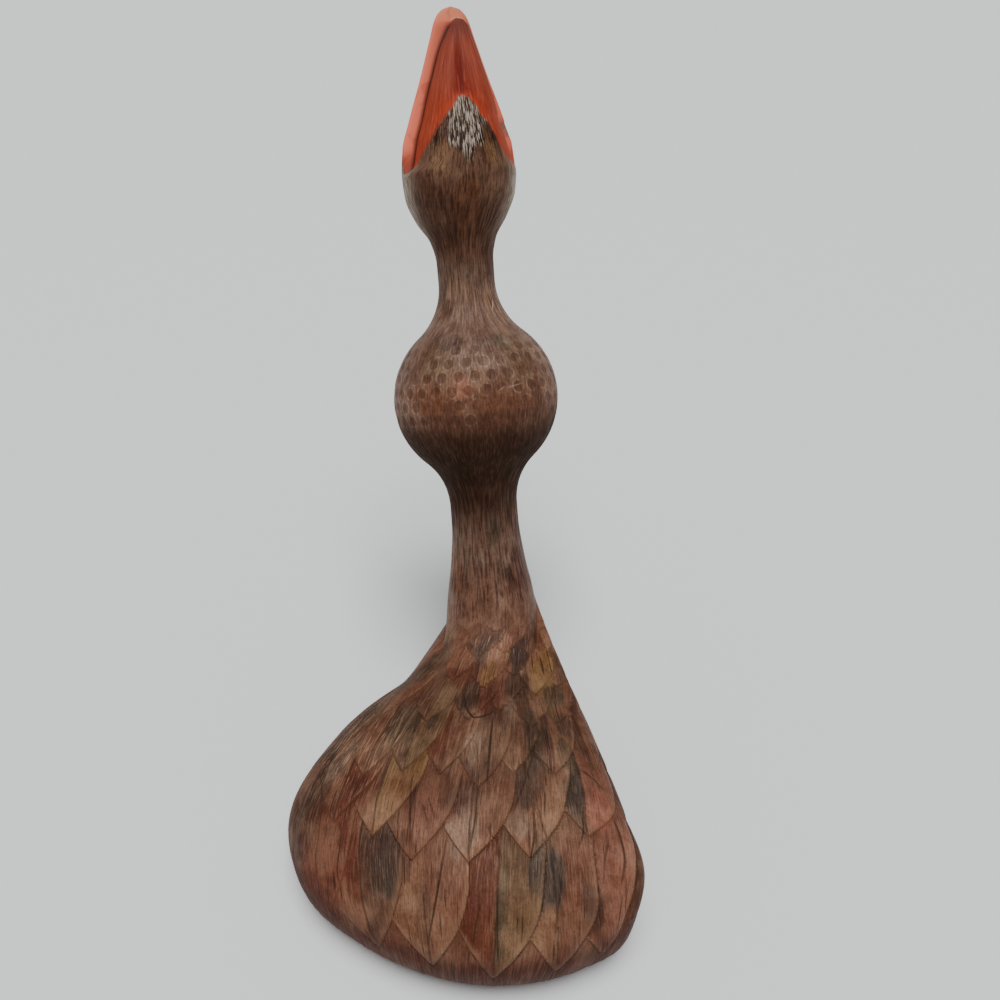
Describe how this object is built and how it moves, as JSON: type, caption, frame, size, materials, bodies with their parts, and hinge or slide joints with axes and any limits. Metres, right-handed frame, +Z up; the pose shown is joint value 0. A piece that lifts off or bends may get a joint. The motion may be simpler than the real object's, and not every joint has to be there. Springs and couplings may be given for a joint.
{
  "type": "carved golf club head goose",
  "caption": "Carved wooden goose shaped like a golf club head, with a dimpled ball swelling in its raised neck and an upturned bill.",
  "frame": {"origin": "middle of the bottom of the bounding box, on the surface that the sole rests on", "axes": "+Z up, +X towards the striking face, +Y from the toe to the heel, which is the way the neck leans"},
  "size_m": [0.0866, 0.1688, 0.1789],
  "materials": {
    "stained_wood": "satin stained and burned wood, with a painted orange bill"
  },
  "bodies": {
    "root": {"goose_carving": "stained_wood"}
  },
  "joints": []
}
